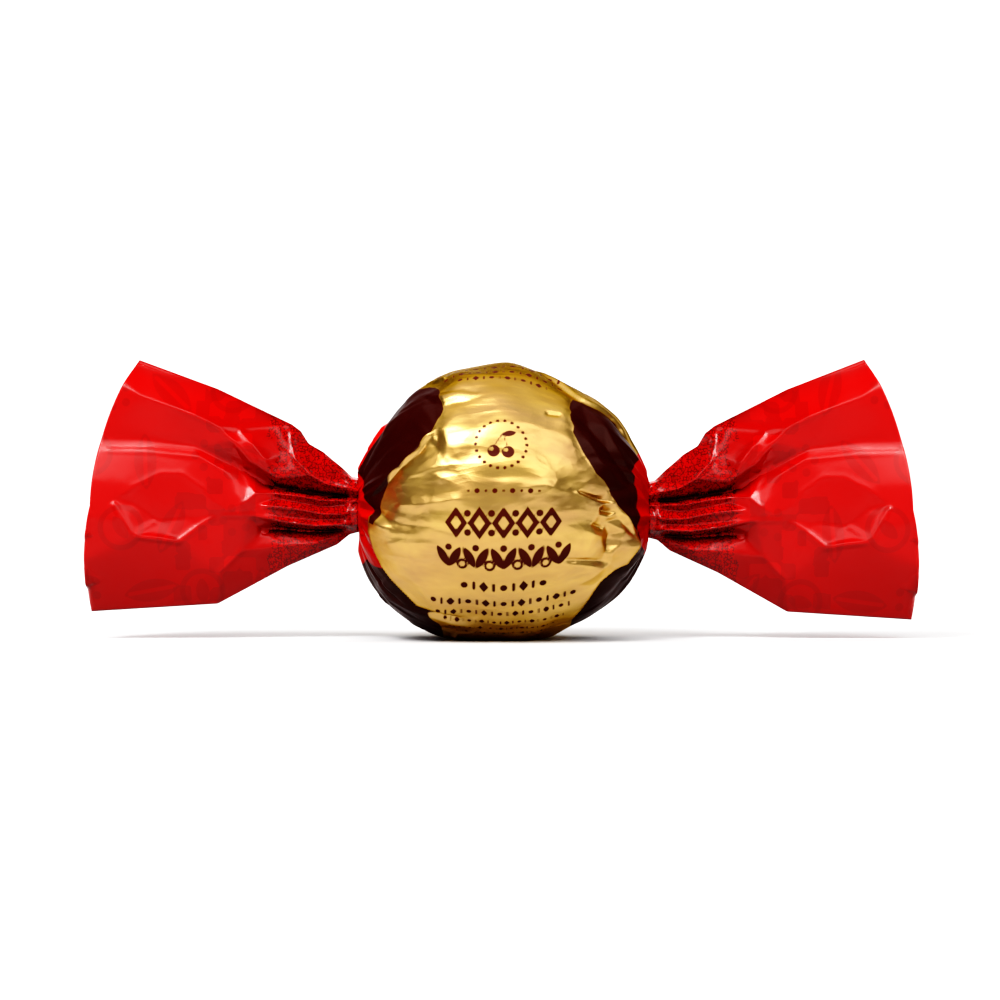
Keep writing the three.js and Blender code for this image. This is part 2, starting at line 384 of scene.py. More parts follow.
def ball_form(share, turn):
    """The smooth ball. share runs from -1 at the left neck to 1 at the right one, turn goes
    round the X axis from 0 at the front to 90 degrees on top."""
    t = np.abs(share)
    body = np.sqrt(np.maximum(1 - t ** 2, 0)) * fullness(share, turn)
    up_down = np.where(np.sin(turn) > 0, BALL_TOP, BALL_BOTTOM)
    half_height = np.hypot(up_down * body, NECK_HALF_HEIGHT * t)
    neck_depth = NECK_HALF_DEPTH * neck_pleat(turn)
    half_depth = np.hypot(BALL_HALF_DEPTH * body, neck_depth * t)
    neck_z = np.where(share < 0, LEFT["neck_z"], RIGHT["neck_z"])
    middle = mix(BALL_HEIGHT, neck_z, t ** 6)
    return np.stack([
        share * NECK_X,
        -half_depth * np.cos(turn),
        middle + half_height * np.sin(turn),
    ], axis=-1)


def grid_normals(points):
    """Outward normals of a grid whose rows run along +X and whose columns go round from the
    bottom over the front to the top."""
    along = np.gradient(points, axis=0)
    around = (np.roll(points, -1, axis=1) - np.roll(points, 1, axis=1)) / 2
    normals = np.cross(along, around)
    return normals / np.maximum(np.linalg.norm(normals, axis=-1, keepdims=True), 1e-9)


# Folds in the film over the ball's front, as (x, z) paths. A ledge is a flap whose left side,
# going along the path, stands higher than its right side and dies away over its run. A ridge or
# a groove is a crease, and its run is half its width.
BALL_LEDGES = [
    {"path": [
        (-8.9, 26.3), (-9.8, 25.7), (-10.9, 24.1), (-12.5, 22.6), (-14.3, 21.1), (-15.3, 20.0),
        (-17.1, 18.1),
    ], "height": -0.4, "run": 2.2},
    {"path": [
        (3.6, 34.7), (5.7, 33.9), (7.3, 32.9), (8.6, 31.8), (9.9, 30.5), (12.5, 29.2),
        (13.6, 28.5), (14.9, 27.2), (16.4, 24.9),
    ], "height": 0.42, "run": 1.6},
    {"path": [
        (-16.7, 15.9), (-16.5, 14.0), (-16.1, 11.4), (-15.3, 9.8), (-14.1, 8.4), (-12.8, 6.9),
        (-10.9, 5.0), (-8.3, 4.2), (-5.0, 3.0),
    ], "height": 0.75, "run": 2.4},
    {"path": [
        (8.3, 0.6), (8.7, 3.2), (9.9, 4.9), (12.0, 8.0), (14.0, 9.5), (15.1, 10.3), (16.3, 12.6),
        (16.6, 14.2),
    ], "height": 0.55, "run": 2.2},
]
BALL_CREASES = [
    {"path": [(1.5, 19.4), (5.4, 19.9), (8.8, 18.9)], "height": 0.14, "run": 1.0},
    {"path": [(-13.6, 21.2), (-9.0, 21.3), (-5.5, 19.9)], "height": 0.12, "run": 1.3},
    {"path": [(-14.0, 17.4), (-9.0, 17.6), (-4.6, 18.3)], "height": 0.17, "run": 1.2},
    {"path": [(-14.6, 15.0), (-9.5, 14.8), (-4.8, 13.6)], "height": -0.16, "run": 1.2},
    {"path": [(-15.4, 12.7), (-10.0, 12.7), (-5.6, 12.0)], "height": 0.14, "run": 1.1},
    {"path": [(-15.0, 11.4), (-11.5, 10.6), (-8.4, 10.9)], "height": -0.14, "run": 1.0},
    {"path": [(1.5, 17.0), (5.0, 16.4), (10.0, 16.9)], "height": 0.1, "run": 1.2},
    {"path": [(-2.0, 12.6), (3.0, 13.4), (8.0, 13.0)], "height": -0.09, "run": 1.3},
    {"path": [(-8.3, 33.6), (-3.0, 34.0), (1.0, 33.2)], "height": 0.1, "run": 0.9},
    {"path": [(-7.8, 31.5), (-5.0, 31.9), (-3.0, 31.7)], "height": -0.1, "run": 0.6},
    {"path": [(5.3, 29.0), (7.2, 28.6)], "height": -0.25, "run": 0.5},
    {"path": [(9.3, 19.2), (11.0, 18.55), (12.7, 18.0)], "height": -0.4, "run": 0.45},
    {"path": [(11.0, 15.05), (12.7, 14.4)], "height": -0.4, "run": 0.45},
    {"path": [(12.1, 16.8), (13.4, 16.5)], "height": -0.4, "run": 0.4},
    {"path": [(7.3, 10.65), (9.9, 10.55), (12.3, 10.4)], "height": -0.2, "run": 0.4},
]

# Sharp folds at the ball's two sides, as nets of creases: each is a path of (x, z, height) points.
LEFT_FOLDS = {
    "outline": [
        (-11.6, 32.6, 0), (-5.0, 33.9, 0), (-2.6, 31.4, 0), (-3.0, 27.0, 0), (-4.8, 22.6, 0),
        (-12.2, 20.6, 0), (-13.0, 18.0, 0), (-12.6, 13.6, 0), (-13.0, 9.0, 0), (-8.0, 6.0, 0),
        (-3.0, 3.4, 0), (-2.6, 1.4, 0), (-8.6, 1.0, 0), (-13.6, 2.8, 0), (-16.9, 7.2, 0),
        (-18.2, 11.4, 0), (-18.4, 16.0, 0), (-18.4, 20.0, 0), (-17.6, 23.4, 0), (-14.4, 29.0, 0),
        (-11.6, 32.6, 0),
    ],
    "brown_rim": [
        (-17.4, 22.6, 0.1), (-16.1, 24.4, 0.35), (-15.2, 25.8, 0.45), (-14.5, 27.2, 0.5),
        (-13.2, 29.0, 0.5), (-12.3, 30.5, 0.4), (-10.6, 31.5, 0.2),
    ],
    "brown_hollow": [(-16.2, 22.6, 0.05), (-13.8, 25.6, 0), (-12.0, 28.4, 0.05), (-10.4, 30.0, 0.1)],
    "brown_notch": [(-10.0, 30.5, 0.12), (-8.8, 30.3, -0.15), (-7.9, 30.5, -0.12)],
    "small_flap": [(-7.8, 30.95, 0.3), (-6.4, 31.3, 0.35), (-5.2, 31.35, 0.3)],
    "small_flap_foot": [(-7.4, 29.8, -0.05), (-6.2, 30.4, -0.1), (-5.3, 30.5, -0.1)],
    "hanging_flap": [(-8.3, 27.0, 0.3), (-7.3, 26.7, 0.4), (-7.0, 25.3, 0.35), (-7.05, 23.6, 0.1)],
    "hanging_flap_side": [(-8.3, 26.0, -0.1), (-8.3, 24.9, -0.15), (-7.6, 24.0, 0.0)],
    "gold_tip": [(-10.3, 25.3, 0.05), (-9.3, 26.3, 0.2), (-8.5, 27.3, 0.2)],
    "gold_tip_foot": [(-10.0, 24.4, -0.05), (-9.2, 24.8, -0.05), (-8.6, 25.0, -0.1)],
    "fold_ray": [(-7.6, 22.9, 0.1), (-9.4, 21.9, 0.14), (-11.4, 21.5, 0.08)],
    "spike": [(-16.4, 15.95, 0.65), (-15.3, 15.1, 0.45), (-14.1, 14.1, 0.05)],
    "spike_top": [(-16.1, 17.0, -0.1), (-15.2, 16.1, -0.25), (-14.0, 14.9, -0.1)],
    "spike_foot": [(-16.3, 14.4, 0.3), (-15.2, 14.0, 0.12), (-14.4, 13.6, 0.02)],
    "wedge": [
        (-15.0, 8.2, -0.2), (-13.4, 6.2, -0.3), (-11.0, 4.75, -0.3), (-8.4, 4.0, -0.25),
        (-5.2, 2.9, -0.1),
    ],
    "low_flap": [
        (-15.4, 7.2, 0.1), (-14.5, 5.4, 0.35), (-12.0, 4.4, 0.45), (-9.5, 3.6, 0.5),
        (-6.6, 2.7, 0.45), (-4.3, 2.0, 0.15),
    ],
    "low_flap_foot": [(-13.6, 4.0, 0.1), (-11.0, 2.9, 0.15), (-8.0, 1.9, 0.1)],
}
RIGHT_FOLDS = {
    "outline": [
        (5.0, 34.6, 0), (4.4, 28.0, 0), (6.4, 22.0, 0), (7.4, 19.2, 0), (7.2, 15.0, 0),
        (6.4, 10.4, 0), (7.4, 6.0, 0), (8.6, 2.2, 0), (12.5, 2.6, 0), (16.2, 6.4, 0),
        (18.0, 10.6, 0), (18.4, 14.5, 0), (18.4, 20.0, 0), (17.8, 23.6, 0), (14.9, 28.4, 0),
        (11.2, 31.9, 0), (8.0, 34.0, 0), (5.0, 34.6, 0),
    ],
    "outer_fold": [
        (8.7, 31.5, 0.05), (9.9, 30.2, 0.35), (12.5, 27.2, 0.6), (14.1, 24.4, 0.6),
        (15.8, 21.5, 0.5), (16.5, 19.8, 0.35),
    ],
    "brown_gutter": [
        (8.5, 29.3, 0.0), (10.9, 27.2, -0.15), (13.2, 24.4, -0.2), (15.1, 21.5, -0.15),
        (15.9, 20.3, -0.05),
    ],
    "inner_fold": [
        (8.4, 28.2, 0.1), (10.6, 25.3, 0.35), (12.2, 22.6, 0.4), (14.1, 20.5, 0.35),
        (15.8, 19.4, 0.25),
    ],
    "gold_roll": [
        (8.0, 28.4, 0.03), (8.8, 26.2, 0.0), (10.3, 23.4, 0.0), (12.0, 20.8, 0.0),
        (13.2, 19.2, -0.05),
    ],
    "gold_shoulder": [(7.0, 28.9, 0.03), (8.0, 26.0, 0.02), (9.4, 23.2, 0.02), (11.0, 20.7, 0.02)],
    "long_crease": [(9.3, 19.2, 0.0), (11.0, 18.55, -0.41), (12.7, 18.0, -0.51), (13.2, 17.95, -0.14)],
    "long_crease_lip": [(9.4, 18.9, 0.12), (11.0, 18.2, 0.17), (12.6, 17.6, 0.29)],
    "strip": [(13.5, 17.6, 0.58), (14.6, 16.3, 0.8), (15.6, 15.2, 0.72)],
    "strip_foot": [(13.4, 17.0, 0.14), (14.3, 15.8, 0.14), (15.2, 14.8, 0.29)],
    "cup": [(11.9, 17.1, 0.29), (12.0, 16.2, 0.14), (13.0, 15.9, 0.29), (13.9, 16.6, 0.36)],
    "cup_floor": [(12.6, 16.9, -0.51), (13.2, 16.7, -0.43)],
    "amber_valley": [(12.9, 15.3, -0.14), (13.6, 13.6, -0.65), (13.2, 12.2, -0.51), (12.8, 11.4, -0.14)],
    "bright_left": [(14.9, 14.2, 0.72), (14.1, 12.6, 0.65), (13.1, 11.4, 0.51), (13.2, 10.2, 0.22)],
    "bright_right": [
        (14.9, 14.2, 0.72), (16.2, 13.2, 1.09), (16.1, 12.1, 1.01), (15.1, 10.8, 0.65),
        (14.1, 9.8, 0.29), (13.2, 10.2, 0.22),
    ],
    "short_crease": [(11.0, 15.05, 0.0), (11.9, 14.7, -0.36), (12.7, 14.4, -0.29)],
    "short_crease_lip": [(10.2, 14.3, 0.07), (11.2, 13.9, 0.32), (12.2, 13.5, 0.14)],
    "level_crease": [(7.3, 10.65, 0.0), (9.9, 10.55, -0.22), (12.3, 10.4, -0.22)],
    "level_ridge": [(7.3, 10.2, 0.07), (9.9, 9.95, 0.26), (12.4, 9.65, 0.29)],
    "low_ridge": [(9.3, 7.5, 0.03), (10.6, 8.4, 0.36), (11.5, 9.1, 0.43), (11.9, 8.4, 0.14)],
    "low_ridge_foot": [(9.5, 6.8, 0.0), (10.9, 7.5, -0.07), (11.6, 8.1, 0.07)],
    "lower_edge": [(14.0, 9.3, 0.1), (12.0, 7.8, 0.1), (10.9, 6.2, 0.08), (9.9, 4.7, 0.05)],
}


def ledge_height(x, z, fold):
    """A flap's step: high on its left side, and a little sunk on its right side."""
    distance, passed = path_distance(x, z, fold["path"])
    ends = fade_in(passed / 0.12) * fade_in((1 - passed) / 0.12)
    high = np.exp(-np.maximum(distance, 0) / fold["run"])
    low = -0.5 * np.exp(np.minimum(distance, 0) / (0.5 * fold["run"]))
    step = fade_in((distance + 0.12) / 0.24)
    return fold["height"] * ends * mix(low, high, step)


def crease_height(x, z, fold):
    """A ridge or groove that is sharp in its middle and dies away at its ends."""
    distance, passed = path_distance(x, z, fold["path"])
    ends = fade_in(passed / 0.15) * fade_in((1 - passed) / 0.15)
    falloff = np.clip(1 - np.abs(distance) / fold["run"], 0, 1)
    return fold["height"] * ends * falloff ** 1.6


def neck_gathers(turn, distance, ring_radius, random, count=22):
    """Creases that run out of a neck over the film, each with its own height and reach."""
    height = np.zeros(turn.shape)
    for i in range(count):
        at = 2 * math.pi * (i + random.uniform(-0.35, 0.35)) / count
        reach = random.uniform(2.2, 6.0)
        width = random.uniform(0.5, 1.5)
        tall = random.uniform(0.15, 0.55) * (1 if i % 2 else -1)
        bend = random.uniform(-0.02, 0.02) * distance
        off = np.abs((turn - at + bend + math.pi) % (2 * math.pi) - math.pi) * ring_radius
        height += tall * np.clip(1 - off / width, 0, 1) * np.exp(-(distance / reach) ** 1.5)
    return height


def loose_ripples(x, run, random, count=26):
    """Soft uneven dents all over the film, as a sum of slanting waves."""
    height = np.zeros(x.shape)
    for _ in range(count):
        length = random.uniform(4.0, 11.0)
        slant = random.uniform(0, math.pi)
        phase = random.uniform(0, 2 * math.pi)
        wave = (x * math.cos(slant) + run * math.sin(slant)) * 2 * math.pi / length + phase
        height += np.sin(wave) * length / count * 0.09
    return height


def back_creases(x, run, random, count=30):
    """Straight creases on the hidden side, like those on the front."""
    height = np.zeros(x.shape)
    for _ in range(count):
        start = (random.uniform(-14, 14), random.uniform(30, 84))
        slant = random.uniform(0, math.pi)
        length = random.uniform(3, 9)
        end = (start[0] + length * math.cos(slant), start[1] + length * math.sin(slant))
        height += crease_height(x, run, {
            "path": [start, end], "height": random.uniform(-0.22, 0.3), "run": random.uniform(0.7, 1.6),
        })
    return height


def film_seam(x, run):
    """The lap where the film's two edges are joined, low on the back."""
    lap_at, lap_width, lap_height = 68.0, 5.0, 0.22
    wave = 0.5 * np.sin(x / 5.0)
    lap = fade_in((run - lap_at - wave) / 0.3) - fade_in((run - lap_at - lap_width - wave) / 4.0)
    return lap_height * lap * (1 - (x / NECK_X) ** 4)


def make_ball():
    """The ball's skin from neck to neck, with its folds and its fields of print."""
    random = np.random.RandomState(BALL_SEED)
    around = np.arange(BALL_AROUND) / BALL_AROUND * 2 * math.pi - math.pi / 2
    turn_line = around - FRONT_BIAS * np.sin(around)
    share_line = np.sin(np.linspace(-math.pi / 2, math.pi / 2, BALL_RINGS))
    share, turn = np.meshgrid(share_line, turn_line, indexing="ij")
    form = ball_form(share, turn)
    x, z = form[..., 0], form[..., 2]
    run = BALL_HALF_DEPTH * turn
    back_run = np.where(run < 0, run + 2 * math.pi * BALL_HALF_DEPTH, run)
    from_neck = (1 - np.abs(share)) * NECK_X
    ring_radius = np.hypot(form[..., 1], z - BALL_HEIGHT)
    frontness = fade_in(-form[..., 1] / 4.0)

    # Each neck draws gathers of its own.
    height = np.where(
        share < 0,
        neck_gathers(turn, from_neck, ring_radius, random),
        neck_gathers(turn, from_neck, ring_radius, random),
    )
    folds = sum(ledge_height(x, z, fold) for fold in BALL_LEDGES)
    folds = folds + sum(crease_height(x, z, fold) for fold in BALL_CREASES)
    folds = folds + net_heights(x, z, LEFT_FOLDS) + net_heights(x, z, RIGHT_FOLDS)
    height = height + folds * frontness
    height = height + loose_ripples(x, run, random)
    height = height + back_creases(x, back_run, random)
    height = height + film_seam(x, back_run)
    at_neck = fade_in(from_neck / 0.5)
    points = form + grid_normals(form) * (height * at_neck)[..., None]
    points[..., 2] = np.maximum(points[..., 2], 0)

    u = NECK_X * np.arcsin(np.clip(share, -1, 1))
    fields = {
        "brown_print": patch_field(x, z, BROWN_PATCHES),
        "red_print": patch_field(x, z, RED_PATCHES) + RED_UNDERLAP,
        "label_print": np.where(form[..., 1] < 3, label_art(u, run), NO_PRINT),
    }
    return film_mesh("ball_wrapper", points, fields, np.stack([x, run], axis=-1))


# ---- the fans -----------------------------------------------------------------------------------

def mouth_place(up):
    """Places along a fan's mouth, from its low corner at 0 to its top corner at 1."""
    low, high = BOTTOM_EDGE[-1], TOP_EDGE[-1]
    angle = mix(math.atan2(low[1], low[0]), math.atan2(high[1], high[0]), up)
    radius = MOUTH_RADIUS + MOUTH_LOW_GROWTH * np.maximum(0, -angle)
    return np.stack([radius * np.cos(angle), radius * np.sin(angle)])


def fan_place(along, across):
    """Where a fan's points lie in the front view, as out and up from the neck."""
    up = (across + 1) / 2
    top = along_line(TOP_EDGE, along)
    bottom = along_line(BOTTOM_EDGE, along)
    neck = np.stack([0 * across, NECK_HALF_HEIGHT * np.sin(across * math.pi / 2)])
    inner = mix(np.array(BOTTOM_EDGE[0])[:, None, None], np.array(TOP_EDGE[0])[:, None, None], up)
    low_corner = mouth_place(0 * up)
    outer = mix(low_corner, mouth_place(0 * up + 1), up)
    return mix(bottom, top, up) + mix(neck, mouth_place(up), along) - mix(inner, outer, along)


# The front wall as a net of creases. Each crease is a path of (out, up, height) points, where
# the height is how far the film stands off the fan's middle towards the viewer.
FRONT_NET = {
    "top_edge": [
        (0, 3.5, 0.2), (0.9, 3.7, 0.2), (2.2, 4.9, 0.3), (4.6, 6.9, 0.3), (6.5, 8.0, 0.4),
        (7.5, 9.6, 0.5), (8.7, 10.5, 0.5), (13.8, 12.9, 0.6), (18.3, 15.1, 0.4), (28.6, 18.9, 0.2),
    ],
    "mouth": [
        (28.6, 18.9, 0.2), (30.8, 15.9, 2.7), (33.1, 10.6, 2.2), (33.8, 8.1, 1.9),
        (34.0, 7.1, 2.4), (34.3, 3.3, 2.9), (34.8, -1.3, 3.1), (35.3, -7.2, 2.4), (34.7, -13.8, 0.2),
    ],
    "bottom_edge": [
        (34.7, -13.8, 0.2), (25.0, -13.2, 0.3), (18.3, -12.8, 0.3), (9.2, -7.9, 0.3),
        (2.8, -5.1, 0.3), (1.2, -3.8, 0.2), (0, -3.5, 0.2),
    ],
    "upper_ridge": [
        (30.8, 15.9, 2.7), (27.9, 14.1, 3.0), (24.2, 12.8, 3.1), (21.0, 11.6, 3.3),
        (18.5, 10.4, 3.4), (16.1, 8.3, 3.6), (13.6, 5.5, 3.6), (10.7, 3.5, 3.2),
    ],
    "upper_hollow": [
        (33.8, 8.1, 1.9), (26.9, 8.2, 1.9), (20.9, 7.6, 2.0), (15.1, 4.7, 1.4),
        (11.6, 2.9, 0.2),
    ],
    "middle_ridge": [(34.0, 7.1, 2.4), (26.9, 7.0, 2.5), (20.4, 6.3, 2.5), (16.8, 4.2, 2.4)],
    "triangle_top": [(18.5, 10.4, 3.4), (15.5, 10.0, 2.6), (10.4, 10.4, 1.1), (8.7, 10.5, 0.5)],
    "triangle_ridge": [(15.5, 10.0, 2.6), (13.6, 7.9, 3.4), (12.0, 5.9, 3.7), (10.7, 3.5, 3.2)],
    "triangle_side": [(10.4, 10.4, 1.1), (9.5, 8.4, 1.7), (8.8, 6.7, 2.2), (10.7, 3.5, 3.2)],
    "dimple_top": [
        (31.5, 0.6, 3.0), (28.3, 2.7, 2.95), (25.4, 4.1, 2.85), (22.8, 4.1, 2.85), (20.0, 2.2, 2.9),
        (18.5, 0.4, 2.9), (16.6, -0.6, 2.8), (14.6, 0.3, 3.1), (13.0, 1.6, 3.0),
    ],
    "dimple_floor": [(28.7, 0.2, 2.6), (25.8, -2.0, 2.3), (22.0, -1.6, 2.3), (18.1, -1.3, 2.6)],
    "dimple_left": [(31.5, 0.6, 3.0), (30.0, -2.0, 3.3), (28.9, -4.0, 3.4)],
    "dimple_low": [
        (28.9, -4.0, 3.4), (26.2, -4.2, 3.2), (23.0, -4.7, 3.0), (20.4, -2.7, 2.5), (18.1, -1.3, 2.6),
    ],
    "dimple_cross": [(28.9, -4.0, 3.4), (26.6, -2.4, 2.5), (25.8, -2.0, 2.3)],
    "pleat_start": [(13.0, 1.6, 3.0), (11.5, 1.7, 2.4)],
    "long_fold": [(18.1, -1.3, 2.6), (14.0, -1.4, 2.8), (11.3, -1.8, 2.9), (8.6, -2.3, 3.0)],
    "lower_fold": [(18.3, -12.8, 0.3), (17.9, -8.7, 1.9), (15.1, -5.9, 2.3), (12.6, -3.6, 1.4)],
    "lower_hollow": [
        (12.6, -3.6, 1.4), (11.6, -2.8, 0.7), (8.3, -3.2, 0.5), (4.6, -3.4, 0.5), (1.3, -3.2, 0.7),
    ],
    "lower_pleat": [(12.6, -3.6, 1.4), (9.4, -5.2, 1.5), (5.8, -5.0, 1.5), (2.9, -4.0, 0.9)],
    "neck_ridge": [
        (8.7, 10.5, 0.5), (8.6, 8.4, 1.6), (8.1, 6.1, 2.6), (6.1, 3.9, 3.2), (3.9, 2.7, 3.2),
        (1.7, 2.2, 2.9), (0.5, 1.8, 2.6),
    ],
    "neck_cross": [(6.1, 4.2, 3.2), (5.0, 5.4, 1.7), (3.9, 6.3, 0.6)],
    "neck_hollow": [(11.6, 2.9, 0.2), (10.5, 2.3, 0.1), (7.1, 1.7, 0.1), (4.1, 1.2, 0.2), (1.2, 1.1, 0.8)],
    "middle_top": [(11.5, 1.7, 2.4), (7.6, 1.3, 2.6), (4.6, 0.7, 2.5), (1.4, 0.7, 2.2)],
    "middle_hollow": [(10.6, 0.9, 1.9), (7.6, 0.3, 1.7), (4.4, -0.2, 1.6), (1.5, 0.1, 1.7)],
    "middle_pleat": [(13.0, 0.0, 2.9), (8.0, -0.4, 3.1), (4.4, -1.1, 3.1), (1.4, -1.1, 2.9)],
    "low_pleat": [(8.6, -2.3, 3.0), (5.4, -2.7, 2.8), (1.4, -2.5, 2.6)],
    "low_crease": [(9.4, -1.5, 2.3), (5.4, -1.9, 2.2), (1.6, -1.8, 2.2)],
}

# The folds of the net that were pressed sharp, and how far each is pinched up.
PINCHED = {
    "upper_ridge": 0.1, "middle_ridge": 0.08, "triangle_top": 0.12, "triangle_ridge": 0.2,
    "triangle_side": 0.14, "dimple_top": 0.04, "dimple_left": 0.2, "dimple_low": 0.16,
    "dimple_cross": 0.12, "long_fold": 0.14, "neck_ridge": 0.2, "neck_cross": -0.16,
    "middle_top": 0.18, "middle_pleat": 0.2, "low_pleat": 0.2, "lower_fold": 0.1,
    "neck_hollow": -0.5, "lower_hollow": -0.5,
}
PINCH_WIDTH = 0.38
CREASE_REACH = 2.2  # how far off a crease the film has gone over into a soft curve


def front_wall(across, out, up):
    """How far the front wall stands off the fan's middle."""
    sharp = net_heights(out, up, FRONT_NET)
    crisp = smoothed(sharp, 1)
    soft = smoothed(sharp, 14)
    off_crease = fade_in(net_nearness(out, up, FRONT_NET) / CREASE_REACH)
    rolled = fade_in((out - 20) / 8) * fade_in((up - 4) / 3)
    height = mix(crisp, soft, np.maximum(off_crease, rolled))
    for name, pinch in PINCHED.items():
        distance, passed = path_distance(out, up, [point[:2] for point in FRONT_NET[name]])
        ends = fade_in(passed / 0.1) * fade_in((1 - passed) / 0.1)
        height = height + pinch * ends * np.exp(-(distance / PINCH_WIDTH) ** 2)
    turn = across * math.pi / 2
    at_neck = NECK_HALF_DEPTH * neck_pleat(turn) * np.cos(turn)
    height = mix(at_neck, height, fade_in(out / 1.8))
    return np.maximum(height, LEAST_HALF_GAP * (1 - across ** 8))


def back_wall(along, across, out, up, random):
    """How far the back wall stands off the fan's middle: deep pleats that fan out."""
    belly = mix(NECK_HALF_DEPTH, 3.7, fade_in(along / 0.6)) * np.cos(across * math.pi / 2)
    pleats = 1.5 * zigzag(across * 1.6 + 0.2 + 0.05 * np.sin(out / 5)) * fade_in(along / 0.55)
    small = 0
    for _ in range(16):
        start = random.uniform(4, 22)
        slope = random.uniform(-0.35, 0.55)
        end = start + random.uniform(4, 11)
        tilt = random.uniform(-2, 2)
        small = small + crease_height(out, up, {
            "path": [(start, slope * start), (end, slope * end + tilt)],
            "height": random.uniform(-0.5, 0.6), "run": random.uniform(0.8, 2.0),
        })
    calm = 1 - across ** 6
    height = smoothed(belly + (pleats + small) * calm, 4)
    turn = math.pi - across * math.pi / 2
    at_neck = -NECK_HALF_DEPTH * neck_pleat(turn) * np.cos(turn)
    height = mix(at_neck, height, fade_in(out / 2.2))
    return np.maximum(height, LEAST_HALF_GAP * (1 - across ** 8))


def pleat_depth(height):
    """How far each place of a wall lies below the wall's mean run."""
    mean_run = smoothed(height, 240)
    return mean_run - height


def fan_sway(along, across):
    """How far a fan bends back at its mouth, with the top and the bottom bent unlike."""
    return 1.3 * along ** 2 * np.sin(across * math.pi * 0.8 - 0.5)


def ring_of(front, back):
    """Joins a wall grid for the front and one for the back into rings round the fan."""
    return np.concatenate([front, back[:, -2:0:-1]], axis=1)


def fan_motifs(out, up, random):
    """Tone-on-tone leaves, rings round small leaves and bunches of dots, scattered over the fan
    about 8 mm apart, with every second row set half a step on."""
    art = np.full(out.shape, NO_PRINT)
    for row in range(4):
        for column in range(4):
            cu = 12.5 + 7.4 * column + (3.7 if row % 2 else 0) + random.uniform(-0.6, 0.6)
            cv = -11 + 8.6 * row + random.uniform(-0.6, 0.6)
            kind = (row * 3 + column) % 4
            if kind % 2 == 0:
                turn = random.uniform(0, math.pi)
                vein_u, vein_v = 2.9 * math.cos(turn), 2.9 * math.sin(turn)
                vein = bar(out, up, (cu - vein_u, cv - vein_v), (cu + vein_u, cv + vein_v), 0.4)
                art = np.maximum(art, np.minimum(leaf(out, up, (cu, cv), 7.6, 3.0, turn), -vein))
            elif kind == 1:
                art = np.maximum(art, ring(out, up, (cu, cv), 2.6, 0.8))
                art = np.maximum(art, leaf(out, up, (cu, cv), 3.6, 1.8, random.uniform(0, math.pi)))
            else:
                for k in range(5):
                    spot = (cu + 1.6 * math.cos(1.257 * k), cv + 1.6 * math.sin(1.257 * k))
                    art = np.maximum(art, disc(out, up, spot, 0.6))
    return art


def make_fan(name, side, seed):
    """One fan from its neck to its mouth and back in, down to the end of its pocket."""
    across_steps = np.linspace(-1, 1, FAN_ACROSS + 1)

    def walls(along_steps, width, inside):
        """The fan's outer walls, or with inside, the pocket's walls one film's thickness in."""
        along, across = np.meshgrid(along_steps, across_steps * width, indexing="ij")
        out, up = fan_place(along, across)
        sway = fan_sway(along, across)
        front_height = front_wall(across, out, up)
        back_height = back_wall(along, across, out, up, np.random.RandomState(seed))
        depth = ring_of(pleat_depth(front_height), pleat_depth(back_height))
        front, back = sway - front_height, sway + back_height
        if inside:
            middle = (front + back) / 2
            front = np.minimum(front + FILM, middle - 0.02)
            back = np.maximum(back - FILM, middle + 0.02)
            depth = np.zeros_like(depth)
        x = side["sign"] * (NECK_X + out * side["reach"])
        z = side["neck_z"] + up * side["spread"]
        ring_points = ring_of(np.stack([x, front, z], axis=-1), np.stack([x, back, z], axis=-1))
        return ring_points, ring_of(out, out), ring_of(up, up), depth

    outer = walls(np.linspace(0, 1, FAN_RINGS), 1.0, False)
    inner = walls(np.linspace(1, POCKET_START, POCKET_RINGS), POCKET_WIDTH, True)
    points, out, up, depth = (np.concatenate(pair) for pair in zip(outer, inner))
    if side["sign"] < 0:
        points, out, up, depth = points[::-1], out[::-1], up[::-1], depth[::-1]
    motifs = fan_motifs(out, up, np.random.RandomState(seed))
    # pleat_depth is what the red film's painted pleat shade is read from.
    fields = {"motif_print": motifs, "pleat_depth": depth}
    return film_mesh(name, points, fields, np.stack([out, up], axis=-1))


# ---- meshes -------------------------------------------------------------------------------------

def film_mesh(name, points, fields, film_place):
    """A closed body skinned over rings of points, with each end shut by a strip across its ring.
    fields become vertex attributes, and film_place a UV map in millimetres on the film."""
    rings, around = points.shape[:2]
    corner = np.arange(rings * around).reshape(rings, around)
    after = np.roll(corner, -1, axis=1)
    faces = np.stack([corner[:-1], corner[1:], after[1:], after[:-1]], axis=-1).reshape(-1, 4).tolist()
    half = around // 2
    # At each end, a place on the front is joined to the place behind it on the back.
    for row, order in ((corner[0], 1), (corner[-1], -1)):
        front, back = row[: half + 1], np.concatenate([[row[0]], row[: half - 1 : -1]])
        for k in range(half):
            face = [front[k], front[k + 1], back[k + 1], back[k]][::order]
            faces.append(list(dict.fromkeys(int(i) for i in face)))
    mesh = bpy.data.meshes.new(name)
    mesh.from_pydata((points.reshape(-1, 3) * MM).tolist(), [], faces)
    for label, values in fields.items():
        attribute = mesh.attributes.new(label, "FLOAT", "POINT")
        attribute.data.foreach_set("value", values.astype(np.float32).ravel())
    uv = mesh.uv_layers.new(name="film")
    loops = np.empty(len(mesh.loops), np.int32)
    mesh.loops.foreach_get("vertex_index", loops)
    uv.data.foreach_set("uv", (film_place.reshape(-1, 2)[loops]).astype(np.float32).ravel())
    mesh.polygons.foreach_set("use_smooth", np.ones(len(mesh.polygons), bool))
    mesh.update()
    piece = bpy.data.objects.new(name, mesh)
    bpy.context.scene.collection.objects.link(piece)
    return piece


# ---- materials ----------------------------------------------------------------------------------

